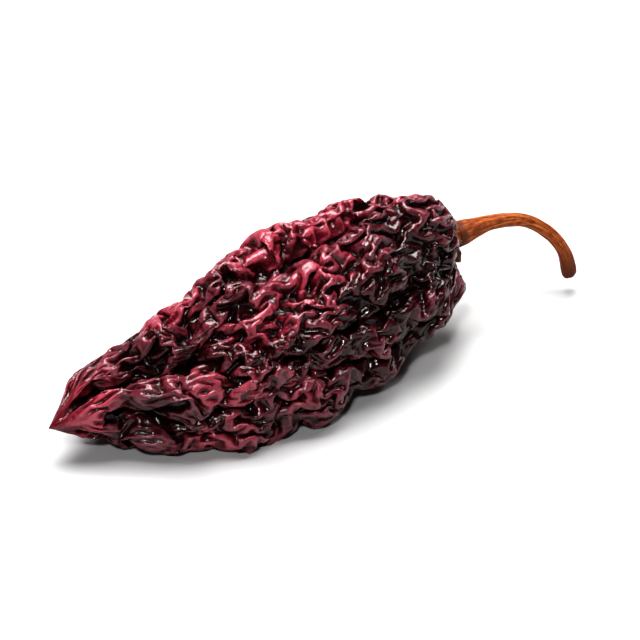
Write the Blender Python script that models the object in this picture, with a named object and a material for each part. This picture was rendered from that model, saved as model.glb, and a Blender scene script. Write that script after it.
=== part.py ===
"""A dried ghost pepper: a creased, leathery pod lying on its belly, with its calyx and hooked stem.

Metres, +Z up. +X runs from the pod's tip to its stem. The origin is on the surface that the pod lies on,
under the middle of the whole object's box.
"""

import bmesh
import bpy
import numpy as np

MM = 0.001

# Driving dimensions of the pod
POD_LENGTH = 57.0 * MM
POD_WIDTH = 24.0 * MM
POD_HEIGHT = 20.5 * MM
BELLY_PRESS = 1.2 * MM  # how far the lowest folds are pressed flat where the pod lies
SHOULDER_LOBES = 0.9 * MM  # how far the three lobes of the shoulder stand out along the pod
THREE_LOBES = 0.05  # how strongly the pod's section is three-lobed, as a share of its radius

# The calyx, measured along the pod's axis from the floor of the hollow that it sits in
CALYX_GAP = 0.45 * MM
CALYX_RIM_RADIUS = 4.3 * MM
CALYX_NECK_RADIUS = 1.55 * MM
CALYX_NECK_FLARE = 1.08
CALYX_NECK_LENGTH = 0.4 * MM
CALYX_HEIGHT = 3.7 * MM
CALYX_LOBES = 5
CALYX_LOBE_DEPTH = 0.09

# The top of the calyx from its rim to its neck, as (height above the rim, share of the rim's radius)
CALYX_TOP = (
    (0.45 * MM, 0.97),
    (0.75 * MM, 0.74),
    (1.0 * MM, 0.52),
)

# The stem, with the shares of its length where its base's flare ends, its knob swells and its end rounds off
STEM_GAP = 0.3 * MM
STEM_BASE_RADIUS = 1.5 * MM
STEM_RADIUS = 0.8 * MM
STEM_KNOB_RADIUS = 0.95 * MM
STEM_END_ROUNDING = 0.25
STEM_FLARE_END = 0.3
STEM_KNOB_START = 0.82
STEM_KNOB_END = 0.95

# How finely each piece is faceted
POD_RINGS = 50
COLUMN_STEP = np.radians(5.1)
CALYX_COLUMNS = 30
CALYX_UNDER_RINGS = 6
STEM_SIDES = 12
STEM_RINGS = 30

# The pod's outline as (distance from the shoulder, radius), both as shares of the length and the half width.
# It starts in the middle of the hollow under the calyx, climbs over the shoulder and ends at the tip.
OUTLINE = (
    (0.037, 0.0),
    (0.036, 0.12),
    (0.026, 0.24),
    (0.006, 0.35),
    (0.004, 0.47),
    (0.036, 0.61),
    (0.12, 0.81),
    (0.24, 0.95),
    (0.36, 1.0),
    (0.48, 0.965),
    (0.60, 0.86),
    (0.72, 0.70),
    (0.82, 0.51),
    (0.90, 0.31),
    (0.96, 0.14),
    (1.0, 0.0),
)

# The pod's centre line as (distance from the shoulder, sideways, height), as shares of the length, the width
# and the height: it bows to the near side, sags to the belly and lifts a little at the tip.
CENTRE_LINE = (
    (0.0, 0.0, 0.58),
    (0.2, -0.01, 0.53),
    (0.4, -0.045, 0.48),
    (0.6, -0.07, 0.395),
    (0.75, -0.045, 0.36),
    (0.9, 0.03, 0.37),
    (1.0, 0.03, 0.325),
)

# The long creases: the angle round the pod and how far each one reaches to either side, in degrees, its
# depth, and where along the pod it starts and ends. Angle 0 is the far side, 90 the top and 180 the near
# side. A start below 0 or an end above 1 runs on into the hollow or the tip.
CREASES = (
    (20, 34, 1.4 * MM, 0.05, 0.80),
    (52, 26, 1.2 * MM, 0.10, 0.95),
    (87, 18, 3.8 * MM, 0.08, 0.50),
    (150, 26, 0.6 * MM, 0.20, 0.55),
    (182, 30, 1.0 * MM, 0.12, 0.66),
    (222, 32, 1.4 * MM, -0.20, 0.42),
    (240, 28, 1.3 * MM, 0.50, 1.20),
    (288, 30, 1.0 * MM, 0.05, 0.95),
    (332, 34, 2.2 * MM, -0.20, 1.20),
)
CREASE_SHARPNESS = 1.7  # 1 is a plain V, and more makes it narrower
CREASE_FADE = 0.12  # the share of the pod's length over which a crease starts or ends
SLENDER = 0.62  # where the pod is thinner than this share of its width, the creases grow shallower
LUMP_HEIGHT = 0.6 * MM

# The hollows where the skin has sunk in: the angle round the pod and its reach in degrees, the depth, and the
# place along the pod and its reach
HOLLOWS = (
    (104, 34, 1.3 * MM, 0.69, 0.035),
    (136, 13, 2.4 * MM, 0.91, 0.07),
    (187, 16, 2.6 * MM, 0.83, 0.055),
)

# Where along the rings, from the hollow to the tip, the creases grow in and the shoulder's lobes come and go
CREASED_FROM = (0.07, 0.2)
LOBES_RISE = (0.05, 0.13)
LOBES_FALL = (0.13, 0.28)

# Finishes: name, colour and roughness
SKIN_FINISH = ("dried_skin", (0.13, 0.015, 0.022), 0.35)
CALYX_FINISH = ("dried_calyx", (0.42, 0.20, 0.06), 0.7)
STEM_FINISH = ("dried_stem", (0.36, 0.15, 0.045), 0.65)

# The stem's centre line, from the top of the calyx: out along the pod's axis, then over and down
STEM_PATH = (
    (0.0 * MM, 0.0 * MM, 0.0 * MM),
    (4.8 * MM, -0.2 * MM, 0.1 * MM),
    (9.2 * MM, -1.1 * MM, -0.6 * MM),
    (12.2 * MM, -2.3 * MM, -2.8 * MM),
    (14.0 * MM, -3.4 * MM, -5.8 * MM),
    (14.6 * MM, -4.1 * MM, -9.4 * MM),
)


def smooth_step(low, high, x):
    share = np.clip((x - low) / (high - low), 0.0, 1.0)
    return share * share * (3.0 - 2.0 * share)


def spline(points, count):
    """count points evenly along a smooth curve through the given ones."""
    points = np.array(points, float)
    padded = np.vstack([2 * points[0] - points[1], points, 2 * points[-1] - points[-2]])
    steps = np.linspace(0.0, 1.0, 24, endpoint=False)[:, None]
    dense = []
    for a, b, c, d in zip(padded, padded[1:], padded[2:], padded[3:]):
        dense.append(
            b
            + 0.5 * steps * (c - a)
            + steps**2 * (a - 2.5 * b + 2 * c - 0.5 * d)
            + steps**3 * (1.5 * b - 1.5 * c + 0.5 * d - 0.5 * a)
        )
    dense = np.vstack([*dense, points[-1:]])
    run = np.concatenate([[0.0], np.cumsum(np.linalg.norm(np.diff(dense, axis=0), axis=1))])
    return np.column_stack([np.interp(np.linspace(0, run[-1], count), run, axis) for axis in dense.T])


def wander(angle, along):
    """How far a crease strays round the pod, in radians, at that share of its length."""
    return (
        0.16 * np.sin(4.2 * along + 0.6)
        + 0.075 * np.sin(2 * angle + 7.5 * along)
        + 0.05 * np.sin(3 * angle - 12.0 * along + 0.8)
    )


def column_angles():
    """An angle for each column of points round the pod, so that every crease runs along a column."""
    creases = np.radians([crease[0] for crease in CREASES])
    angles = []
    for crease, fold in zip(creases, np.diff(np.append(creases, creases[0] + 2 * np.pi))):
        count = round(fold / COLUMN_STEP)
        angles.append(crease + fold * np.arange(count) / count)
    return np.concatenate(angles)


def turned(angle, centre):
    """How far an angle round the pod is from one in degrees, in radians from -pi to pi."""
    return (angle - np.radians(centre) + np.pi) % (2 * np.pi) - np.pi


def fold_relief(along, angle):
    """How far the lumps, the long creases and the hollows move the skin out, in metres."""
    wave = np.sin(2 * angle + 15 * along) * np.sin(3 * angle - 23 * along + 1.0)
    ripple = 0.4 * np.sin(5 * angle + 29 * along + 2.0)
    relief = LUMP_HEIGHT * (wave + ripple)
    for centre, reach, depth, start, end in CREASES:
        away = np.abs(turned(angle, centre)) / np.radians(reach)
        there = smooth_step(start - CREASE_FADE, start + CREASE_FADE, along)
        there = there * (1 - smooth_step(end - CREASE_FADE, end + CREASE_FADE, along))
        relief = relief - depth * there * np.clip(1 - away, 0.0, None) ** CREASE_SHARPNESS
    for centre, reach, depth, place, spread in HOLLOWS:
        away = turned(angle, centre) / np.radians(reach)
        relief = relief - depth * np.exp(-(away**2) - ((along - place) / spread) ** 2)
    return relief


def pod_surface():
    """The pod's skin as rings of points, from the hollow under the calyx to the tip.

    Its shoulder is at X 0 and its tip at X -POD_LENGTH, and its belly is pressed flat at Z 0.
    """
    scaled = [(x * POD_LENGTH, r * POD_WIDTH / 2) for x, r in OUTLINE]
    along, radius = spline(scaled, POD_RINGS).T
    f = (along / POD_LENGTH)[:, None]
    q = np.clip(radius / (POD_WIDTH / 2), 0.0, None)[:, None]
    ring = np.linspace(0.0, 1.0, POD_RINGS)[:, None]
    angle = column_angles()
    theta = angle + wander(angle, f)

    relief = smooth_step(*CREASED_FROM, ring) * smooth_step(0.0, SLENDER, q) * fold_relief(f, angle)
    lobed = q * (1 + THREE_LOBES * smooth_step(0.2, 0.7, q) * np.cos(3 * theta + 0.9 + 1.5 * f))
    flattened = smooth_step(0.25, 0.6, q)
    mean = (POD_WIDTH + POD_HEIGHT) / 4
    half_width = mean + flattened * (POD_WIDTH / 2 - mean)
    half_height = mean + flattened * (POD_HEIGHT / 2 - mean)
    shoulder = smooth_step(*LOBES_RISE, ring) * (1 - smooth_step(*LOBES_FALL, ring))

    centre_f, side, height = spline(CENTRE_LINE, POD_RINGS).T
    x = -f * POD_LENGTH + shoulder * SHOULDER_LOBES * np.cos(3 * theta + 0.4)
    y = np.interp(f, centre_f, side) * POD_WIDTH + (half_width * lobed + relief) * np.cos(theta)
    z = np.interp(f, centre_f, height) * POD_HEIGHT + (half_height * lobed + relief) * np.sin(theta)
    return lying_flat(np.stack([x, y, z], axis=-1))


def lying_flat(points):
    """The points stretched to the pod's driving sizes, with the lowest folds pressed flat where it lies."""
    least, most = points.min(axis=(0, 1)), points.max(axis=(0, 1))
    low = np.array([-POD_LENGTH, -POD_WIDTH / 2, -BELLY_PRESS])
    high = np.array([0.0, POD_WIDTH / 2, POD_HEIGHT])
    stretched = low + (points - least) * (high - low) / (most - least)
    stretched[..., 2] = np.maximum(stretched[..., 2], 0.0)
    return stretched


def lofted_mesh(name, rings):
    """A closed mesh through rings of points. A ring that has shrunk to a point becomes one."""
    mesh = bmesh.new()
    rows = []
    for ring in rings:
        if np.ptp(ring, axis=0).max() < 1e-6:
            rows.append([mesh.verts.new(ring.mean(axis=0))])
        else:
            rows.append([mesh.verts.new(point) for point in ring])
    for here, there in zip(rows, rows[1:]):
        count = max(len(here), len(there))
        for i in range(count):
            j = (i + 1) % count
            corners = [here[k % len(here)] for k in (i, j)] + [there[k % len(there)] for k in (j, i)]
            mesh.faces.new(list(dict.fromkeys(corners)))
    for end in (rows[0], rows[-1]):
        if len(end) > 2:
            mesh.faces.new(end)
    bmesh.ops.recalc_face_normals(mesh, faces=mesh.faces)
    data = bpy.data.meshes.new(name)
    mesh.to_mesh(data)
    mesh.free()
    data.shade_smooth()
    return data


def calyx_surface(hollow):
    """The calyx as rings about the axis through hollow, the middle of the pod's hollow.

    Its underside keeps CALYX_GAP off the hollow's wall, and its top narrows to the neck.
    """
    wall = [(x * POD_LENGTH, r * (POD_WIDTH + POD_HEIGHT) / 4) for x, r in OUTLINE[:5]]
    depth = np.array([x for x, _ in wall])
    reach = np.array([r for _, r in wall])
    profile = []
    for radius in np.linspace(0, CALYX_RIM_RADIUS, CALYX_UNDER_RINGS):
        profile.append((depth[0] - np.interp(radius, reach, depth) + CALYX_GAP, radius))
    rim_height = profile[-1][0]
    for height, share in CALYX_TOP:
        profile.append((rim_height + height, CALYX_RIM_RADIUS * share))
    profile.append((CALYX_HEIGHT - CALYX_NECK_LENGTH, CALYX_NECK_RADIUS * CALYX_NECK_FLARE))
    profile.append((CALYX_HEIGHT, CALYX_NECK_RADIUS))
    profile.append((CALYX_HEIGHT, 0.0))
    turn = np.linspace(0, 2 * np.pi, CALYX_COLUMNS, endpoint=False)
    rings = []
    for height, radius in profile:
        lobed = CALYX_LOBE_DEPTH * smooth_step(0.5, 1.0, radius / CALYX_RIM_RADIUS)
        lobing = (1 + lobed * np.cos(CALYX_LOBES * turn)) / (1 + CALYX_LOBE_DEPTH)
        ring = [np.full_like(turn, height), radius * lobing * np.cos(turn), radius * lobing * np.sin(turn)]
        rings.append(hollow + np.stack(ring, axis=-1))
    return rings


def stem_surface(start):
    """The stem as rings along its centre line, which leaves start along +X. It ends in a knob."""
    line = spline(STEM_PATH, STEM_RINGS) + start
    tangent = np.gradient(line, axis=0)
    tangent[:2] = (1.0, 0.0, 0.0)
    tangent /= np.linalg.norm(tangent, axis=1)[:, None]
    share = np.linspace(0, 1, STEM_RINGS)
    radius = STEM_RADIUS + (STEM_BASE_RADIUS - STEM_RADIUS) * (1 - smooth_step(0.0, STEM_FLARE_END, share))
    radius += (STEM_KNOB_RADIUS - STEM_RADIUS) * smooth_step(STEM_KNOB_START, STEM_KNOB_END, share)
    radius *= 1 - STEM_END_ROUNDING * smooth_step(STEM_KNOB_END, 1.0, share)
    turn = np.linspace(0, 2 * np.pi, STEM_SIDES, endpoint=False)[:, None]
    side = np.array([0.0, 1.0, 0.0])
    rings = []
    for centre, ahead, r in zip(line, tangent, radius):
        side = side - ahead * (side @ ahead)
        side /= np.linalg.norm(side)
        up = np.cross(ahead, side)
        rings.append(centre + r * (np.cos(turn) * side + np.sin(turn) * up))
    return rings


def material(name, colour, roughness):
    made = bpy.data.materials.new(name)
    made.use_nodes = True
    shader = made.node_tree.nodes["Principled BSDF"]
    shader.inputs["Base Color"].default_value = (*colour, 1.0)
    shader.inputs["Roughness"].default_value = roughness
    shader.inputs["Metallic"].default_value = 0.0
    return made


def main():
    for old in list(bpy.data.objects):
        bpy.data.objects.remove(old)

    pod = pod_surface()
    hollow = pod[0].mean(axis=0)
    calyx = calyx_surface(hollow)
    stem = stem_surface(hollow + np.array([CALYX_HEIGHT + STEM_GAP, 0.0, 0.0]))

    everything = np.vstack([*pod, *calyx, *stem])
    middle = (everything.min(axis=0) + everything.max(axis=0)) / 2
    pieces = (("pod", pod, SKIN_FINISH), ("calyx", calyx, CALYX_FINISH), ("stem", stem, STEM_FINISH))
    for name, rings, finish in pieces:
        piece = bpy.data.objects.new(name, lofted_mesh(name, rings))
        piece.data.materials.append(material(*finish))
        piece.location = (-middle[0], -middle[1], 0.0)
        bpy.context.scene.collection.objects.link(piece)


main()
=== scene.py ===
"""The looks of the dried ghost pepper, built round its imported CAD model.

The pod's crinkled skin is grown, not drawn. A smooth form with the long creases is laid out as a grid of
points, its springs are made longer than the form has room for, and it buckles in three rounds, from folds to
fine crinkles, as a real skin does when the flesh under it shrinks. The calyx and the stem are lofted with
their furrows. Metres, +Z up, +X from the pod's tip to its stem.
"""

import math

import bpy
import numpy as np
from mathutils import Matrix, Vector


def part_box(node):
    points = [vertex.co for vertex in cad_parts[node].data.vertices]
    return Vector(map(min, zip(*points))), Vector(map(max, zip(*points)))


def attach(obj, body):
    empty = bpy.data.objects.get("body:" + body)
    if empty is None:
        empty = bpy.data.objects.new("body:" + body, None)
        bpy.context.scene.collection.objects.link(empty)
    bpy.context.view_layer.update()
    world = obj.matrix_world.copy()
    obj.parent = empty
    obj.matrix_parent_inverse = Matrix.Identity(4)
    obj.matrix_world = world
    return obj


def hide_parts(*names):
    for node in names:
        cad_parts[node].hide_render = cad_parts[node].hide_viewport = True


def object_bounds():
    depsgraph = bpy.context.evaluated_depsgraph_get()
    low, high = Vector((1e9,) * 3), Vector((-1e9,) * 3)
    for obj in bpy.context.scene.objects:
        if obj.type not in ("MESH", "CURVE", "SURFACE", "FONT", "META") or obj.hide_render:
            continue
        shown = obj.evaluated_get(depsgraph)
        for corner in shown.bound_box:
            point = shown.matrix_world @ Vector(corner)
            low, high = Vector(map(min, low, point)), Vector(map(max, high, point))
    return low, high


MM = 0.001
SEED = 7

# What keeps divisions by lengths and girths safe where these are zero
TINY = 1e-12
TINY_GIRTH = 1e-9

# The camera, in degrees, millimetres of lens and metres: it looks down on the pod from its near side, towards
# the stem. Its aim is measured from the middle of the whole object's box.
CAMERA_AZIMUTH = -35.6
CAMERA_ELEVATION = 32.0
CAMERA_LENS = 200
CAMERA_DISTANCE = 0.424
CAMERA_AIM = Vector((0.0, 0.0, -3.0 * MM))

# The pod's outline as (distance from the shoulder, radius), both as shares of the length and the half width.
# It starts in the middle of the hollow under the calyx, climbs over the shoulder and ends at the tip.
OUTLINE = (
    (0.037, 0.0),
    (0.036, 0.12),
    (0.026, 0.24),
    (0.006, 0.35),
    (0.004, 0.47),
    (0.036, 0.61),
    (0.12, 0.81),
    (0.24, 0.95),
    (0.36, 1.0),
    (0.48, 0.965),
    (0.60, 0.86),
    (0.72, 0.70),
    (0.82, 0.51),
    (0.90, 0.31),
    (0.96, 0.14),
    (1.0, 0.0),
)

# The pod's centre line as (distance from the shoulder, sideways, height), as shares of the length, the width
# and the height.
CENTRE_LINE = (
    (0.0, 0.0, 0.58),
    (0.2, -0.01, 0.53),
    (0.4, -0.045, 0.48),
    (0.6, -0.07, 0.395),
    (0.75, -0.045, 0.36),
    (0.9, 0.03, 0.37),
    (1.0, 0.03, 0.325),
)

# The long creases: the angle round the pod and the reach to either side in degrees, the depth, and where
# along the pod each one starts and ends. Angle 0 is the far side, 90 the top and 180 the near side.
CREASES = (
    (20, 34, 1.4 * MM, 0.05, 0.80),
    (52, 26, 1.2 * MM, 0.10, 0.95),
    (87, 18, 3.8 * MM, 0.08, 0.50),
    (150, 26, 0.6 * MM, 0.20, 0.55),
    (182, 30, 1.0 * MM, 0.12, 0.66),
    (222, 32, 1.4 * MM, -0.20, 0.42),
    (240, 28, 1.3 * MM, 0.50, 1.20),
    (288, 30, 1.0 * MM, 0.05, 0.95),
    (332, 34, 2.2 * MM, -0.20, 1.20),
)
CREASE_SHARPNESS = 1.7  # 1 is a plain V, and more makes it narrower
CREASE_FADE = 0.12  # the share of the pod's length over which a crease starts or ends
SLENDER = 0.62  # where the pod is thinner than this share of its width, the creases grow shallower
LUMP_HEIGHT = 0.6 * MM

# The hollows where the skin has sunk in: the angle round the pod and its reach in degrees, the depth, and the
# place along the pod and its reach
HOLLOWS = (
    (104, 34, 1.3 * MM, 0.69, 0.035),
    (136, 13, 2.4 * MM, 0.91, 0.07),
    (187, 16, 2.6 * MM, 0.83, 0.055),
)

# Where along the rows, from the hollow to the tip, the creases grow in and the shoulder's lobes come and go
CREASED_FROM = (0.07, 0.2)
LOBES_RISE = (0.05, 0.13)
LOBES_FALL = (0.13, 0.28)

THREE_LOBES = 0.05  # how strongly the pod's section is three-lobed, as a share of its radius
SHOULDER_LOBES = 0.9 * MM  # how far the three lobes of the shoulder stand out along the pod
BELLY_PRESS = 1.2 * MM  # how far the lowest folds are pressed flat where the pod lies

# The skin grows from the calyx's edge on, more in some patches than in others, and less on one side of the
# shoulder: its angle and reach in degrees, its place along the pod and its reach, and how much less it grows
GROWTH_FROM = (0.03, 0.09)
PATCH_SIZE = 8.0 * MM
UNEVENNESS = 0.5
CALM_SHOULDER = (160, 50, 0.10, 0.16)
CALM = 0.5

# The rounds of buckling: the grid's rows and columns, how much the skin grows round and along the pod, the
# waves' size and how far they reach, how stiffly the skin bends and is held down, the number of steps, the
# thicknesses between which it comes to grow fully, how puffed up the waves are, and how much they count in
# the colours, where the valleys are painted shade and the crests painted highlights
FOLDS = dict(
    grid=(125, 196),
    round=0.30,
    along=0.05,
    wave=5.0 * MM,
    depth=0.7 * MM,
    stiff=0.010,
    hold=0.0012,
    steps=250,
    thin=(0.1, 0.5),
    puff=1.0,
    tone=0.35,
)
PUFFS = dict(
    grid=(190, 300),
    round=0.32,
    along=0.13,
    wave=2.4 * MM,
    depth=0.6 * MM,
    stiff=0.006,
    hold=0.004,
    steps=200,
    thin=(0.0, 0.25),
    puff=1.4,
    tone=0.5,
)
CRINKLES = dict(
    grid=(250, 392),
    round=0.30,
    along=0.18,
    wave=1.0 * MM,
    depth=0.3 * MM,
    stiff=0.003,
    hold=0.008,
    steps=130,
    thin=(0.0, 0.1),
    puff=1.3,
    tone=0.8,
)
TIP_GROWTH = 2.0  # how much more the skin grows round the pod where it is thinnest
TIP_DEPTH = 0.3  # how far the waves reach there, as a share of their full reach
LEAST_GIRTH = 0.1  # nowhere is the skin held less than at this share of the greatest girth
GROWS_ALONG = (0.2, 0.8)  # between these shares of the greatest girth, the skin comes to grow lengthways too

# The springs from each point of the skin, as (rows down, columns round, strength)
SPRINGS = (
    (0, 1, 0.16),
    (1, 0, 0.16),
    (1, 1, 0.1),
    (1, -1, 0.1),
)
RIPPLE_HEIGHT = 0.04 * MM  # of the bumps from which the buckling starts
RIPPLE_WAVE = 0.9  # their size, as a share of the round's waves
RIPPLE_PASSES = 6  # how often they are smoothed along the pod
SPEED_KEPT = 0.85  # the share of its speed that the skin keeps from step to step
SLIDE_HOLD = 0.3  # how firmly it is held against sliding, as a share of the hold against rising
FINEST_WAVE = 0.42  # shorter waves than this share of the round's own are smoothed away

# Where the skin is crimson or, below 0, blackish: the angle round the pod and its reach in degrees, the place
# along the pod and its reach, and how strong the colour is. Above 1 it is brighter as well. The blackish
# entries are painted shade in the grooves, the hollows and on the shoulder turned from the light, and the
# crimson patches on the middle ridge are painted highlights as well as colour.
BLUSHES_AND_PAINTED_LIGHT = (
    (66, 21, 0.40, 0.34, 1.0),
    (114, 16, 0.40, 0.16, 0.8),
    (124, 16, 0.57, 0.08, 0.8),
    (162, 14, 0.65, 0.09, 0.85),
    (206, 18, 0.67, 0.08, 0.8),
    (300, 50, 0.55, 0.25, 0.7),
    (10, 40, 0.35, 0.25, 0.8),
    (88, 6, 0.31, 0.19, -1.3),
    (150, 34, 0.19, 0.13, -1.0),
    (150, 16, 0.45, 0.07, -1.0),
    (192, 30, 0.19, 0.13, -0.9),
    (128, 11, 0.71, 0.05, -1.1),
    (90, 10, 0.57, 0.06, -0.8),
    (188, 18, 0.82, 0.06, -1.2),
    (345, 30, 0.70, 0.20, -0.7),
    (185, 40, 0.95, 0.05, 1.3),
)
BLUSH_TIP = (0.87, 0.95)  # between these shares of its length the pod turns crimson towards its tip

# The stem's centre line, from the top of the calyx: out along the pod's axis, then over and down
STEM_PATH = (
    (0.0 * MM, 0.0 * MM, 0.0 * MM),
    (4.8 * MM, -0.2 * MM, 0.1 * MM),
    (9.2 * MM, -1.1 * MM, -0.6 * MM),
    (12.2 * MM, -2.3 * MM, -2.8 * MM),
    (14.0 * MM, -3.4 * MM, -5.8 * MM),
    (14.6 * MM, -4.1 * MM, -9.4 * MM),
)

# Its radius at shares of its length, and over its cut end to the middle
STEM_OUTLINE = (
    (0.0, 1.62 * MM),
    (0.06, 1.5 * MM),
    (0.15, 1.18 * MM),
    (0.27, 0.92 * MM),
    (0.5, 0.79 * MM),
    (0.78, 0.78 * MM),
    (0.88, 0.86 * MM),
    (0.95, 0.93 * MM),
    (0.985, 0.82 * MM),
    (1.0, 0.5 * MM),
    (0.997, 0.0),
)
STEM_ROOT = 0.9 * MM  # how far the stem reaches into the calyx
STEM_GRID = (150, 60)
STEM_LINE_POINTS = 400
STEM_RIBS = 5
STEM_RIB_DEPTH = 0.16  # as a share of its radius
STEM_TWIST = 0.9  # how far its ribs turn from end to end, in radians
STEM_KNOTS = 0.07  # how far its knots stand out, as a share of its radius
# The stem's base takes the ends' darker colour as painted shade under the pod's shoulder
STEM_BASE = (1.1, 4.5)  # how near an end its base counts as, for its colour, and how fast that falls off

# The calyx as (height above the bottom of its box, radius), as shares of its height and half width
CALYX_OUTLINE = (
    (0.0, 0.0),
    (0.02, 0.4),
    (0.2, 0.75),
    (0.5, 1.0),
    (0.6, 0.96),
    (0.66, 0.80),
    (0.74, 0.62),
    (0.86, 0.49),
    (1.0, 0.42),
    (1.0, 0.0),
)
CALYX_GRID = (90, 150)
CALYX_LOBES = 5
CALYX_LOBE_DEPTH = 0.10  # as a share of its radius
CALYX_FURROW_DEPTH = 0.03
CALYX_SHRUNK = 0.82  # its rim draws in under the crinkled shoulder
CALYX_ROOT = 1.2 * MM  # how far the calyx reaches into the pod

# The skin's colours by its height, from valleys to crests: where it is nearly black, and where it is crimson.
# The valleys' darkness is painted shade, and the crests' paleness is painted highlights.
SKIN_DARK_SHADED_TO_LIT = (
    (0.10, (0.010, 0.0003, 0.0006)),
    (0.45, (0.026, 0.0009, 0.0019)),
    (0.75, (0.056, 0.0038, 0.0072)),
    (1.0, (0.15, 0.030, 0.044)),
)
SKIN_CRIMSON_SHADED_TO_LIT = (
    (0.10, (0.019, 0.0011, 0.0022)),
    (0.45, (0.076, 0.0030, 0.0078)),
    (0.75, (0.170, 0.0100, 0.023)),
    (1.0, (0.38, 0.066, 0.098)),
)

# The colours of the woody pieces' streaks, and of the calyx's rim and the stem's ends. On the stem's base,
# next to the pod, that darker colour is painted shade under the pod's shoulder.
CALYX_TONES = (
    (0.30, (0.09, 0.026, 0.008)),
    (0.50, (0.26, 0.088, 0.023)),
    (0.72, (0.42, 0.18, 0.057)),
)
CALYX_RIM_COLOUR = (0.11, 0.04, 0.016)
STEM_TONES = (
    (0.30, (0.05, 0.007, 0.002)),
    (0.48, (0.22, 0.048, 0.007)),
    (0.70, (0.60, 0.21, 0.055)),
)
STEM_END_AND_PAINTED_SHADE_COLOUR = (0.10, 0.023, 0.008)

# How fine the patterns in the finishes are, in cells per metre, or for the streaks, per radius of their piece
CLOUDS = 190
PATCHES = 420
SPOTS = 1200
GRAIN = 1500
FINE_GRAIN = 4200
STREAKS = 4.5

# How deep they go: in the skin, in the clear coat over it, and in the woody pieces
GRAIN_DEPTH = 0.4 * MM
FINE_GRAIN_DEPTH = 0.03 * MM
COAT_DEPTH = 0.07 * MM
STREAK_DEPTH = 0.12 * MM
SPOT_DEPTH = 0.05 * MM

# The gloss. Each roughness is that of the valleys and dark streaks, then that of the crests and pale streaks.
SKIN_ROUGHNESS = (0.46, 0.26)
SKIN_SPECULAR = 0.12
SKIN_SPECULAR_TINT = (1.0, 0.40, 0.48, 1.0)
COAT_WEIGHT = 0.8
COAT_IOR = 1.58
COAT_ROUGHNESS = 0.13
WOOD_ROUGHNESS = (0.5, 0.68)
WOOD_SPECULAR = 0.3

FLOOR_SIZE = 2.4
FLOOR_COLOUR = (0.5, 0.5, 0.5, 1.0)
FLOOR_ROUGHNESS = 0.6

# The lights as (name, place, size, power). They all face the origin.
LIGHTS = (
    ("overhead", (0.4, 1.1, 4.9), 3.6, 410.0),
    ("right", (2.9, -0.9, 3.8), 1.1, 40.0),
    ("front", (-3.2, -3.4, 4.9), 0.65, 190.0),
)

# The studio round the floor, by the sine of the height above the horizon: pale low down and dim above
WORLD_STOPS = (
    (0.06, (0.78, 0.78, 0.78)),
    (0.16, (0.05, 0.05, 0.05)),
)


def smooth_step(low, high, x):
    share = np.clip((x - low) / (high - low), 0.0, 1.0)
    return share * share * (3.0 - 2.0 * share)


def spline(points, count):
    """count points evenly along a smooth curve through the given ones."""
    points = np.array(points, float)
    padded = np.vstack([2 * points[0] - points[1], points, 2 * points[-1] - points[-2]])
    steps = np.linspace(0.0, 1.0, 24, endpoint=False)[:, None]
    dense = []
    for a, b, c, d in zip(padded, padded[1:], padded[2:], padded[3:]):
        dense.append(
            b
            + 0.5 * steps * (c - a)
            + steps**2 * (a - 2.5 * b + 2 * c - 0.5 * d)
            + steps**3 * (1.5 * b - 1.5 * c + 0.5 * d - 0.5 * a)
        )
    dense = np.vstack([*dense, points[-1:]])
    run = np.concatenate([[0.0], np.cumsum(np.linalg.norm(np.diff(dense, axis=0), axis=1))])
    return np.column_stack([np.interp(np.linspace(0, run[-1], count), run, axis) for axis in dense.T])


def wander(angle, along):
    """How far a crease strays round the pod, in radians, at that share of its length."""
    return (
        0.16 * np.sin(4.2 * along + 0.6)
        + 0.075 * np.sin(2 * angle + 7.5 * along)
        + 0.05 * np.sin(3 * angle - 12.0 * along + 0.8)
    )


def mound(along, angle, centre, reach, place, spread):
    """1 at an angle round the pod and a place along it, falling off smoothly over their two reaches."""
    away = (angle - np.radians(centre) + np.pi) % (2 * np.pi) - np.pi
    return np.exp(-((away / np.radians(reach)) ** 2) - ((along - place) / spread) ** 2)


def fold_relief(along, angle):
    """How far the lumps and the long creases move the skin out, in metres."""
    wave = np.sin(2 * angle + 15 * along) * np.sin(3 * angle - 23 * along + 1.0)
    ripple = 0.4 * np.sin(5 * angle + 29 * along + 2.0)
    relief = LUMP_HEIGHT * (wave + ripple)
    for centre, reach, depth, start, end in CREASES:
        away = np.abs((angle - np.radians(centre) + np.pi) % (2 * np.pi) - np.pi) / np.radians(reach)
        there = smooth_step(start - CREASE_FADE, start + CREASE_FADE, along)
        there = there * (1 - smooth_step(end - CREASE_FADE, end + CREASE_FADE, along))
        relief = relief - depth * there * np.clip(1 - away, 0.0, None) ** CREASE_SHARPNESS
    for centre, reach, depth, place, spread in HOLLOWS:
        relief = relief - depth * mound(along, angle, centre, reach, place, spread)
    return relief


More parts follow.
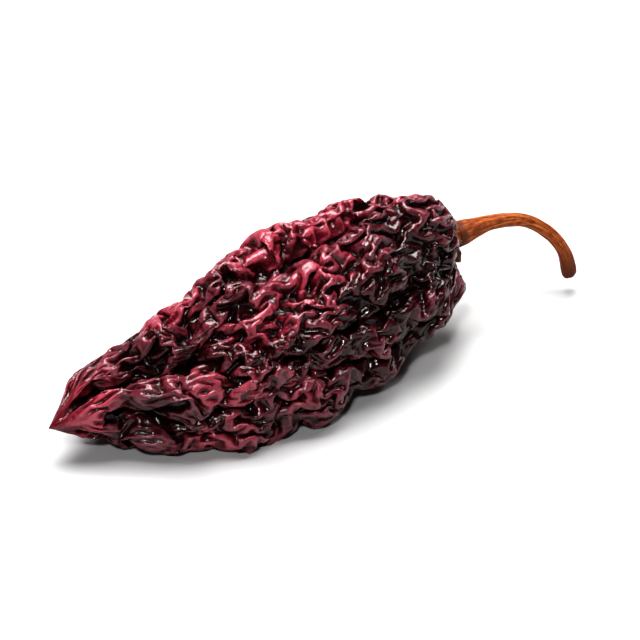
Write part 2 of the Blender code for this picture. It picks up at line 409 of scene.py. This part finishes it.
def pod_form(box, rows, columns):
    """The pod before its skin crinkles, as rows of points from the hollow under the calyx to the tip.

    Also, for each row, how far along the pod it is and how thick the pod is there, as shares of its length
    and half width, and the row's own place among the rows.
    """
    low, high = np.array(box[0]), np.array(box[1])
    length, width, height = high - low
    scaled = [(x * length, r * width / 2) for x, r in OUTLINE]
    run, radius = spline(scaled, rows).T
    along = (run / length)[:, None]
    thick = np.clip(radius / (width / 2), 0.0, None)[:, None]
    ring = np.linspace(0.0, 1.0, rows)[:, None]
    angle = np.linspace(0.0, 2 * np.pi, columns, endpoint=False)
    theta = angle + wander(angle, along)

    relief = smooth_step(*CREASED_FROM, ring) * smooth_step(0.0, SLENDER, thick) * fold_relief(along, angle)
    lobed = thick * (1 + THREE_LOBES * smooth_step(0.2, 0.7, thick) * np.cos(3 * theta + 0.9 + 1.5 * along))
    flattened = smooth_step(0.25, 0.6, thick)
    mean = (width + height) / 4
    half_width = mean + flattened * (width / 2 - mean)
    half_height = mean + flattened * (height / 2 - mean)
    shoulder = smooth_step(*LOBES_RISE, ring) * (1 - smooth_step(*LOBES_FALL, ring))

    place, side, lift = spline(CENTRE_LINE, rows).T
    x = -along * length + shoulder * SHOULDER_LOBES * np.cos(3 * theta + 0.4)
    y = np.interp(along, place, side) * width + (half_width * lobed + relief) * np.cos(theta)
    z = np.interp(along, place, lift) * height + (half_height * lobed + relief) * np.sin(theta)
    return lying_in(np.stack([x, y, z], axis=-1), box), along, thick, ring


def stretched_to(points, low, high):
    """The points stretched to fill the box between two corners."""
    least, most = points.min(axis=(0, 1)), points.max(axis=(0, 1))
    return low + (points - least) * (high - low) / (most - least)


def lying_in(points, box):
    """The points stretched to the box, with what would reach under it pressed flat at its floor."""
    low, high = np.array(box[0]), np.array(box[1])
    low[2] -= BELLY_PRESS
    stretched = stretched_to(points, low, high)
    stretched[..., 2] = np.maximum(stretched[..., 2], 0.0)
    return stretched


def size_of(vectors):
    """The length of each vector."""
    return np.sqrt(np.einsum("...k,...k->...", vectors, vectors))


def outward(points):
    """The unit normal at each point of a grid that is closed round its columns."""
    across = np.roll(points, -1, axis=1) - np.roll(points, 1, axis=1)
    normal = np.cross(np.gradient(points, axis=0), across)
    return normal / (size_of(normal)[..., None] + TINY)


def smooth_round(field, around, wave):
    """Each row of the field without the waves round it that are shorter than wave."""
    spectrum = np.fft.rfft(field, axis=1)
    number = np.arange(spectrum.shape[1])
    ratio = number * wave / np.maximum(around[:, None], TINY_GIRTH)
    return np.fft.irfft(spectrum / (1.0 + ratio[..., None] ** 4), n=field.shape[1], axis=1)


def gaps(points, down, round_by):
    """From each point to the one that many rows down and columns round."""
    return np.roll(points, -round_by, axis=1)[down:] - points[: len(points) - down]


def spring_pull(points, rest, down, round_by):
    """How one set of springs moves its two ends towards the springs' rest lengths."""
    gap = gaps(points, down, round_by)
    pull = (1 - rest / (size_of(gap) + TINY))[..., None] * gap
    moved = np.zeros_like(points)
    moved[: len(points) - down] += pull
    moved[down:] -= np.roll(pull, round_by, axis=1)
    return moved


def rest_lengths(points, grow_round, grow_along, down, round_by):
    """The lengths that one set of springs would like after growth."""
    count = len(points) - down
    cell_along = down * size_of(np.gradient(points, axis=0))[:count]
    cell_round = round_by * size_of(gaps(points, 0, 1))[:count]
    plain = np.hypot(cell_along, cell_round) + TINY
    grown = np.hypot(cell_along * grow_along[:count], cell_round * grow_round[:count])
    return size_of(gaps(points, down, round_by)) * grown / plain


def seeded_ripples(around, rows, columns, wave, seed):
    """Slight smooth bumps, for the buckling to start from."""
    bumps = np.random.default_rng(seed).standard_normal((rows, columns, 1))
    bumps = smooth_round(bumps, around, RIPPLE_WAVE * wave)
    for _ in range(RIPPLE_PASSES):
        bumps[1:-1] = (bumps[:-2] + 2 * bumps[1:-1] + bumps[2:]) / 4
    return bumps / bumps.std()


def grown_springs(form, active, girth, recipe):
    """The sets of springs between the points, as (strength, grown lengths, rows down, columns round)."""
    grow_round = 1 + recipe["round"] * active * (1 + TIP_GROWTH * (1 - girth))[:, None]
    grow_along = 1 + recipe["along"] * active * smooth_step(*GROWS_ALONG, girth)[:, None]
    springs = []
    for down, round_by, strength in SPRINGS:
        rest = rest_lengths(form, grow_round, grow_along, down, round_by)
        springs.append((strength, rest, down, round_by))
    return springs


def bent(shift):
    """How sharply the skin bends along the pod at each point."""
    bend = np.zeros_like(shift)
    bend[2:-2] = shift[4:] - 4 * shift[3:-1] + 6 * shift[2:-2] - 4 * shift[1:-3] + shift[:-4]
    return bend


def puffed(height, spread, puff):
    """How far to raise each point, so that the waves' crests are round and their valleys narrow."""
    level = np.clip(height / spread, -1.0, 1.0)
    raised = spread * (1 - 2 * ((1 - level) / 2) ** puff - level)
    return raised - (height + raised).mean(axis=1, keepdims=True)


def buckled(form, active, recipe, seed):
    """The form with its skin grown longer than there is room for, so that it buckles.

    active says how strongly the skin grows at each point. Also how far each point moved out, from about -1 in
    the valleys to 1 on the crests.
    """
    up = outward(form)
    around = size_of(gaps(form, 0, 1)).sum(axis=1)
    girth = around / around.max()
    hold = recipe["hold"] * np.maximum(girth, LEAST_GIRTH)[:, None, None] ** 2
    depth = recipe["depth"] * (TIP_DEPTH + (1 - TIP_DEPTH) * girth)[:, None, None]
    springs = grown_springs(form, active, girth, recipe)
    shift = RIPPLE_HEIGHT * seeded_ripples(around, *form.shape[:2], recipe["wave"], seed) * up
    speed = np.zeros_like(form)
    for step in range(recipe["steps"]):
        points = form + shift
        force = sum(strength * spring_pull(points, *spring) for strength, *spring in springs)
        height = np.einsum("ijk,ijk->ij", shift, up)[..., None]
        held = height * up * (1 + (height / depth) ** 2) + SLIDE_HOLD * shift
        force -= recipe["stiff"] * bent(shift) + hold * held
        speed = SPEED_KEPT * speed + force
        shift = shift + speed
        shift[[0, -1]] = 0.0
        if step % 2 == 0:
            shift = smooth_round(shift, around, FINEST_WAVE * recipe["wave"])
        shift[..., 2] = np.maximum(shift[..., 2], -form[..., 2])
    height = np.einsum("ijk,ijk->ij", shift, up)
    spread = 2 * height.std()
    points = form + shift + puffed(height, spread, recipe["puff"])[..., None] * up
    points[..., 2] = np.maximum(points[..., 2], 0.0)
    return points, height / spread


def resampled(field, rows, columns):
    """A grid of points or numbers, closed round its columns, at another number of rows and columns."""
    spectrum = np.fft.rfft(field, axis=1)
    shape = list(spectrum.shape)
    shape[1] = columns // 2 + 1
    wider = np.zeros(shape, complex)
    wider[:, : spectrum.shape[1]] = spectrum
    wide = np.fft.irfft(wider, n=columns, axis=1) * columns / field.shape[1]
    place = np.linspace(0, len(field) - 1, rows)
    row = np.minimum(place.astype(int), len(field) - 2)
    share = (place - row).reshape(-1, *[1] * (field.ndim - 1))
    return wide[row] * (1 - share) + wide[row + 1] * share


def growing(form, along, thick, ring, thin):
    """How strongly the skin grows at each point: not under the calyx, and unevenly, in patches."""
    around = size_of(gaps(form, 0, 1)).sum(axis=1)
    patches = seeded_ripples(around, *form.shape[:2], PATCH_SIZE, SEED + 2)[..., 0]
    uneven = 1 + UNEVENNESS * np.tanh(patches)
    angle = np.linspace(0.0, 2 * np.pi, form.shape[1], endpoint=False)
    calm = 1 - CALM * mound(along, angle, *CALM_SHOULDER)
    return smooth_step(*GROWTH_FROM, ring) * smooth_step(*thin, thick) * uneven * calm


def pod_skin(box):
    """The finished skin's points, the relief for its colours' painted shade and highlights, and how far along
    the pod each row is.
    """
    moved, relief = 0.0, 0.0
    for seed, recipe in enumerate((FOLDS, PUFFS, CRINKLES), SEED):
        rows, columns = recipe["grid"]
        form, along, thick, ring = pod_form(box, rows, columns)
        if seed > SEED:
            moved, relief = resampled(moved, rows, columns), resampled(relief, rows, columns)
        active = growing(form, along, thick, ring, recipe["thin"])
        points, height = buckled(form + moved, active, recipe, seed)
        moved = points - form
        relief = relief + recipe["tone"] * height
    return lying_in(points, box), relief, along


def blush_and_painted_light(along, columns):
    """How crimson the skin is at each point: below 0 it is blackish, as painted shade, and above 1 it is
    brightest.
    """
    angle = np.linspace(0.0, 2 * np.pi, columns, endpoint=False)
    crimson_and_painted_light = smooth_step(*BLUSH_TIP, along) * np.ones(columns)
    for centre, reach, place, spread, strength in BLUSHES_AND_PAINTED_LIGHT:
        there = mound(along, angle, centre, reach, place, spread)
        crimson_and_painted_light = crimson_and_painted_light + there * (strength - crimson_and_painted_light) * abs(strength)
    return crimson_and_painted_light


def grid_faces(rows, columns):
    """Quads between the rows of a grid that is closed round its columns."""
    index = np.arange(rows * columns).reshape(rows, columns)
    beside = np.roll(index, -1, axis=1)
    return np.stack([index[:-1], index[1:], beside[1:], beside[:-1]], axis=-1).reshape(-1, 4)


def grid_object(name, points, finish, fields):
    """A closed object from a grid of points, with each end's row drawn together to one point.

    fields are what its material reads, by name: a number or three for each point.
    """
    rows, columns, _ = points.shape
    first, last = (rows - 2) * columns, (rows - 2) * columns + 1
    ring = np.arange(columns)
    beside = np.roll(ring, -1)
    bottom = (rows - 3) * columns
    faces = grid_faces(rows - 2, columns).tolist()
    faces += [(first, int(a), int(b)) for a, b in zip(ring, beside)]
    faces += [(last, int(bottom + b), int(bottom + a)) for a, b in zip(ring, beside)]
    mesh = bpy.data.meshes.new(name)
    mesh.from_pydata(ends_joined(points).tolist(), [], faces)
    mesh.shade_smooth()
    for label, values in fields.items():
        values = ends_joined(values)
        if values.ndim == 1:
            attribute = mesh.attributes.new(label, "FLOAT", "POINT")
            attribute.data.foreach_set("value", values.astype(np.float32))
        else:
            attribute = mesh.attributes.new(label, "FLOAT_VECTOR", "POINT")
            attribute.data.foreach_set("vector", values.astype(np.float32).ravel())
    mesh.materials.append(finish)
    made = bpy.data.objects.new(name, mesh)
    bpy.context.scene.collection.objects.link(made)
    return made


def ends_joined(grid):
    """A grid's inner rows as one list, with the means of its first and last rows at the end."""
    inner = grid[1:-1].reshape(-1, *grid.shape[2:])
    return np.concatenate([inner, [grid[0].mean(axis=0), grid[-1].mean(axis=0)]])


def calyx_skin(box):
    """The shrivelled calyx's points, the coordinates of its streaks, and how near its rim each point is."""
    rows, columns = CALYX_GRID
    height, radius = spline(CALYX_OUTLINE, rows).T[:, :, None]
    turn = np.linspace(0.0, 2 * np.pi, columns, endpoint=False)
    rim = smooth_step(0.42, 1.0, radius) * smooth_step(0.2, 0.5, height)
    lobe = np.cos(CALYX_LOBES * turn + 0.5 * np.sin(turn + 1.0))
    broad = np.sin(17 * turn + 2.0 * np.sin(3 * turn))
    narrow = np.sin(29 * turn + 1.5 * np.sin(2 * turn))
    furrow = 0.6 * broad + 0.4 * narrow
    furrowed = CALYX_FURROW_DEPTH * furrow * smooth_step(0.2, 0.5, height)
    reach = radius * (1 + rim * (CALYX_LOBE_DEPTH * lobe + 0.025 * furrow) + furrowed)
    lift = height + rim * (0.10 * np.sin(2 * turn + 0.7) + 0.05 * np.sin(7 * turn) + 0.03 * furrow)
    points = np.stack([lift, reach * np.cos(turn), reach * np.sin(turn)], axis=-1)
    grain = np.stack(np.broadcast_arrays(np.cos(turn), np.sin(turn), 0.3 * (radius - height)), axis=-1)
    low, high = np.array(box[0]), np.array(box[1])
    inset = (1 - CALYX_SHRUNK) / 2 * (high - low) * (0, 1, 1)
    low[0] -= CALYX_ROOT
    return stretched_to(points, low + inset, high - inset), grain, np.broadcast_to(radius, CALYX_GRID)


def along_line(line, share):
    """The points of a line at those shares of its length."""
    place = np.linspace(0, 1, len(line))
    return np.column_stack([np.interp(share, place, axis) for axis in line.T])


def stem_skin(box):
    """The stem's points, the coordinates of its streaks, and how near its ends each point is; the base gets
    painted shade.
    """
    rows, columns = STEM_GRID
    length = sum(math.dist(a, b) for a, b in zip(STEM_PATH, STEM_PATH[1:]))
    along, radius = spline([(share * length, r) for share, r in STEM_OUTLINE], rows).T
    share = along / length
    centres = spline(STEM_PATH, STEM_LINE_POINTS)
    line = along_line(centres, share)
    ahead = along_line(np.gradient(centres, axis=0), share)
    ahead /= size_of(ahead)[:, None]
    share = share[:, None]
    turn = np.linspace(0.0, 2 * np.pi, columns, endpoint=False)
    twist = turn + STEM_TWIST * share
    rib = np.abs(np.cos(STEM_RIBS * twist / 2)) ** 0.7 - 0.6
    knots = 0.35 * np.sin(23 * share + 2 * np.cos(turn)) + 0.15 * np.sin(57 * share + 3 * np.sin(turn))
    girth = radius[:, None] * (1 + STEM_RIB_DEPTH * rib + STEM_KNOTS * knots)
    side = np.array([0.0, 1.0, 0.0])
    points = []
    for centre, front, reach in zip(line, ahead, girth):
        side = side - front * (side @ front)
        side /= size_of(side)
        up = np.cross(front, side)
        points.append(centre + reach[:, None] * (np.cos(turn)[:, None] * side + np.sin(turn)[:, None] * up))
    grain = np.stack(np.broadcast_arrays(np.cos(twist), np.sin(twist), 2.5 * share), axis=-1)
    low, high = np.array(box[0]), np.array(box[1])
    low[0] -= STEM_ROOT
    base, falling = STEM_BASE
    # Near its base the stem is darkened as painted shade under the pod's shoulder
    ends = np.maximum(share, base - falling * share)
    return stretched_to(np.array(points), low, high), grain, np.broadcast_to(ends, STEM_GRID)


def add_node(tree, kind, inputs, **settings):
    """A shader node with its settings made, and its inputs given a value or linked."""
    node = tree.nodes.new(kind)
    for key, value in settings.items():
        setattr(node, key, value)
    for key, value in inputs.items():
        if isinstance(value, bpy.types.NodeSocket):
            tree.links.new(value, node.inputs[key])
        else:
            node.inputs[key].default_value = value
    return node


def read_field(tree, name):
    """The outputs of a node that reads one of the piece's fields."""
    return add_node(tree, "ShaderNodeAttribute", {}, attribute_name=name).outputs


def noise(tree, place, scale, detail=3.0, roughness=0.5, distortion=0.0):
    """Noise from 0 to 1. Its scale is in cells per unit of place."""
    inputs = {
        "Vector": place,
        "Scale": scale,
        "Detail": detail,
        "Roughness": roughness,
        "Distortion": distortion,
    }
    return add_node(tree, "ShaderNodeTexNoise", inputs).outputs["Fac"]


def weighed(tree, start, *terms):
    """start plus each term's value times its weight."""
    for value, weight in terms:
        node = tree.nodes.new("ShaderNodeMath")
        node.operation = "MULTIPLY_ADD"
        tree.links.new(value, node.inputs[0])
        node.inputs[1].default_value = weight
        if isinstance(start, bpy.types.NodeSocket):
            tree.links.new(start, node.inputs[2])
        else:
            node.inputs[2].default_value = start
        start = node.outputs["Value"]
    return start


def ranged(tree, value, low, high, to_low=0.0, to_high=1.0):
    """The value smoothly mapped from one range to another."""
    inputs = {"Value": value, "From Min": low, "From Max": high, "To Min": to_low, "To Max": to_high}
    return add_node(tree, "ShaderNodeMapRange", inputs, interpolation_type="SMOOTHSTEP").outputs["Result"]


def ramp(tree, value, stops):
    """Colours by value, from stops of (value, colour)."""
    node = add_node(tree, "ShaderNodeValToRGB", {"Fac": value})
    elements = node.color_ramp.elements
    while len(elements) < len(stops):
        elements.new(0.5)
    for element, (place, colour) in zip(elements, stops):
        element.position = place
        element.color = (*colour, 1.0)
    return node.outputs["Color"]


def mixed(tree, share, first, second):
    """Two colours mixed, from the first at share 0 to the second at 1."""
    # Sockets for colours share their names with those for numbers in this node, so they go by place
    node = tree.nodes.new("ShaderNodeMix")
    node.data_type = "RGBA"
    tree.links.new(share, node.inputs[0])
    tree.links.new(first, node.inputs[6])
    tree.links.new(second, node.inputs[7])
    return node.outputs[2]


def bumped(tree, height, depth, normal=None):
    """A normal bent by bumps of that depth, on top of another normal if there is one."""
    inputs = {"Height": height, "Distance": depth}
    if normal:
        inputs["Normal"] = normal
    return add_node(tree, "ShaderNodeBump", inputs).outputs["Normal"]


def new_material(name):
    """A material with its node tree and its Principled shader."""
    made = bpy.data.materials.new(name)
    made.use_nodes = True
    return made, made.node_tree, made.node_tree.nodes["Principled BSDF"]


def skin_material():
    """The pod's leathery skin: crimson and blackish, darkened in its valleys as painted shade and palest on
    its crests as painted highlights, under an uneven clear gloss.
    """
    made, tree, shader = new_material("pod_skin")
    place = add_node(tree, "ShaderNodeTexCoord", {}).outputs["Object"]
    clouds = noise(tree, place, CLOUDS, detail=2, distortion=0.6)
    patches = noise(tree, place, PATCHES, detail=3)
    grain = noise(tree, place, GRAIN, detail=4, roughness=0.6)
    fine = noise(tree, place, FINE_GRAIN, detail=2)
    height = weighed(tree, -0.45, (read_field(tree, "relief")["Fac"], 1.0), (grain, 0.5), (patches, 0.4))
    crimson_and_painted_light = read_field(tree, "blush_and_painted_light")["Fac"]

    # The blackish colours and the crimson ones, each by height, mixed by how crimson the skin is. Both are
    # darker low in the relief, as painted shade, and paler high on it, as painted highlights.
    tone = weighed(tree, -0.9, (height, 1.0), (clouds, 1.8), (crimson_and_painted_light, 0.4))
    dark = ramp(tree, tone, SKIN_DARK_SHADED_TO_LIT)
    red = weighed(tree, -1.25, (crimson_and_painted_light, 1.0), (clouds, 1.5), (patches, 1.0))
    lit = weighed(tree, 0.0, (height, 1.0), (ranged(tree, crimson_and_painted_light, 1.0, 2.0), 0.5))
    colour = mixed(tree, ranged(tree, red, 0.1, 0.65), dark, ramp(tree, lit, SKIN_CRIMSON_SHADED_TO_LIT))
    tree.links.new(colour, shader.inputs["Base Color"])

    # The gloss and the grain
    dull = weighed(tree, 0.0, (grain, 1.0), (height, 1.0), (clouds, -0.6))
    tree.links.new(ranged(tree, dull, 0.2, 1.2, *SKIN_ROUGHNESS), shader.inputs["Roughness"])
    normal = bumped(tree, grain, GRAIN_DEPTH)
    tree.links.new(bumped(tree, fine, FINE_GRAIN_DEPTH, normal), shader.inputs["Normal"])
    tree.links.new(bumped(tree, grain, COAT_DEPTH), shader.inputs["Coat Normal"])
    shader.inputs["Specular IOR Level"].default_value = SKIN_SPECULAR
    shader.inputs["Specular Tint"].default_value = SKIN_SPECULAR_TINT
    shader.inputs["Coat Weight"].default_value = COAT_WEIGHT
    shader.inputs["Coat IOR"].default_value = COAT_IOR
    shader.inputs["Coat Roughness"].default_value = COAT_ROUGHNESS
    return made


def woody_material(name, stops, end_and_shade_colour):
    """Dry, woody skin with streaks along its grain, and another colour towards its end, which on the stem's
    base is painted shade.
    """
    made, tree, shader = new_material(name)
    grain = read_field(tree, "grain")["Vector"]
    place = add_node(tree, "ShaderNodeTexCoord", {}).outputs["Object"]
    streaks = noise(tree, grain, STREAKS, detail=4, roughness=0.6)
    spots = noise(tree, place, SPOTS, detail=3)
    tone = weighed(tree, 0.0, (streaks, 0.7), (spots, 0.3))
    near_end = weighed(tree, 0.0, (read_field(tree, "near_end")["Fac"], 1.0), (spots, 0.2))
    end = add_node(tree, "ShaderNodeRGB", {}).outputs["Color"]
    end.default_value = (*end_and_shade_colour, 1.0)
    colour = mixed(tree, ranged(tree, near_end, 0.85, 1.1), ramp(tree, tone, stops), end)
    tree.links.new(colour, shader.inputs["Base Color"])
    tree.links.new(ranged(tree, tone, 0.3, 0.7, *WOOD_ROUGHNESS), shader.inputs["Roughness"])
    shader.inputs["Specular IOR Level"].default_value = WOOD_SPECULAR
    normal = bumped(tree, streaks, STREAK_DEPTH)
    tree.links.new(bumped(tree, spots, SPOT_DEPTH, normal), shader.inputs["Normal"])
    return made


def floor_material():
    made, _, shader = new_material("floor")
    shader.inputs["Base Color"].default_value = FLOOR_COLOUR
    shader.inputs["Roughness"].default_value = FLOOR_ROUGHNESS
    return made


def add_piece(node, points, finish, fields):
    """A piece that stands for a CAD node."""
    piece = grid_object(node + "_skin", points, finish, fields)
    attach(piece, "root")
    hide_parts(node)


def add_pod():
    points, relief, along = pod_skin(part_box("pod"))
    # The relief gives painted shade in the valleys and painted highlights on the crests; the blush gives
    # crimson patches, painted shade and some painted highlights
    fields = {"relief": 0.5 + 0.5 * relief, "blush_and_painted_light": blush_and_painted_light(along, points.shape[1])}
    add_piece("pod", points, skin_material(), fields)


def add_calyx():
    points, grain, near_rim = calyx_skin(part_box("calyx"))
    finish = woody_material("calyx_skin", CALYX_TONES, CALYX_RIM_COLOUR)
    add_piece("calyx", points, finish, {"grain": grain, "near_end": near_rim})


def add_stem():
    points, grain, near_end = stem_skin(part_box("stem"))
    finish = woody_material("stem_skin", STEM_TONES, STEM_END_AND_PAINTED_SHADE_COLOUR)
    add_piece("stem", points, finish, {"grain": grain, "near_end": near_end})


def add_floor():
    mesh = bpy.data.meshes.new("floor")
    reach = FLOOR_SIZE / 2
    corners = [(-reach, -reach, 0), (reach, -reach, 0), (reach, reach, 0), (-reach, reach, 0)]
    mesh.from_pydata(corners, [], [(0, 1, 2, 3)])
    mesh.materials.append(floor_material())
    floor = bpy.data.objects.new("floor", mesh)
    bpy.context.scene.collection.objects.link(floor)


def add_light(name, place, size, power):
    lamp = bpy.data.lights.new(name, "AREA")
    lamp.size = size
    lamp.energy = power
    made = bpy.data.objects.new(name, lamp)
    made.location = place
    made.rotation_euler = Vector(place).to_track_quat("Z", "Y").to_euler()
    bpy.context.scene.collection.objects.link(made)


def add_world():
    world = bpy.data.worlds.new("world")
    world.use_nodes = True
    tree = world.node_tree
    direction = add_node(tree, "ShaderNodeTexCoord", {}).outputs["Generated"]
    height = add_node(tree, "ShaderNodeSeparateXYZ", {"Vector": direction}).outputs["Z"]
    tree.links.new(ramp(tree, height, WORLD_STOPS), tree.nodes["Background"].inputs["Color"])
    bpy.context.scene.world = world


def add_camera(low, high):
    azimuth, elevation = math.radians(CAMERA_AZIMUTH), math.radians(CAMERA_ELEVATION)
    level = math.cos(elevation)
    back = Vector((math.sin(azimuth) * level, -math.cos(azimuth) * level, math.sin(elevation)))
    lens = bpy.data.cameras.new("camera")
    lens.lens = CAMERA_LENS
    lens.clip_start = 0.01
    camera = bpy.data.objects.new("camera", lens)
    camera.location = (low + high) / 2 + CAMERA_AIM + back * CAMERA_DISTANCE
    camera.rotation_euler = back.to_track_quat("Z", "Y").to_euler()
    bpy.context.scene.collection.objects.link(camera)
    bpy.context.scene.camera = camera


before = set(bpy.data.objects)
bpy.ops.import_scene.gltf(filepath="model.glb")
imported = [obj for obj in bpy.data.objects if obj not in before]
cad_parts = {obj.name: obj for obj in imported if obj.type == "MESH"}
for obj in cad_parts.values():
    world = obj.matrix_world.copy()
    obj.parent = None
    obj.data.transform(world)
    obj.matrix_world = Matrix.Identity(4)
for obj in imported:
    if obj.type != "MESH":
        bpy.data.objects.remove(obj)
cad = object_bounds()
add_pod()
add_calyx()
add_stem()
add_floor()
for light in LIGHTS:
    add_light(*light)
add_world()
add_camera(*cad)
bpy.context.scene.view_settings.view_transform = "Standard"
bpy.context.scene.view_settings.look = "High Contrast"
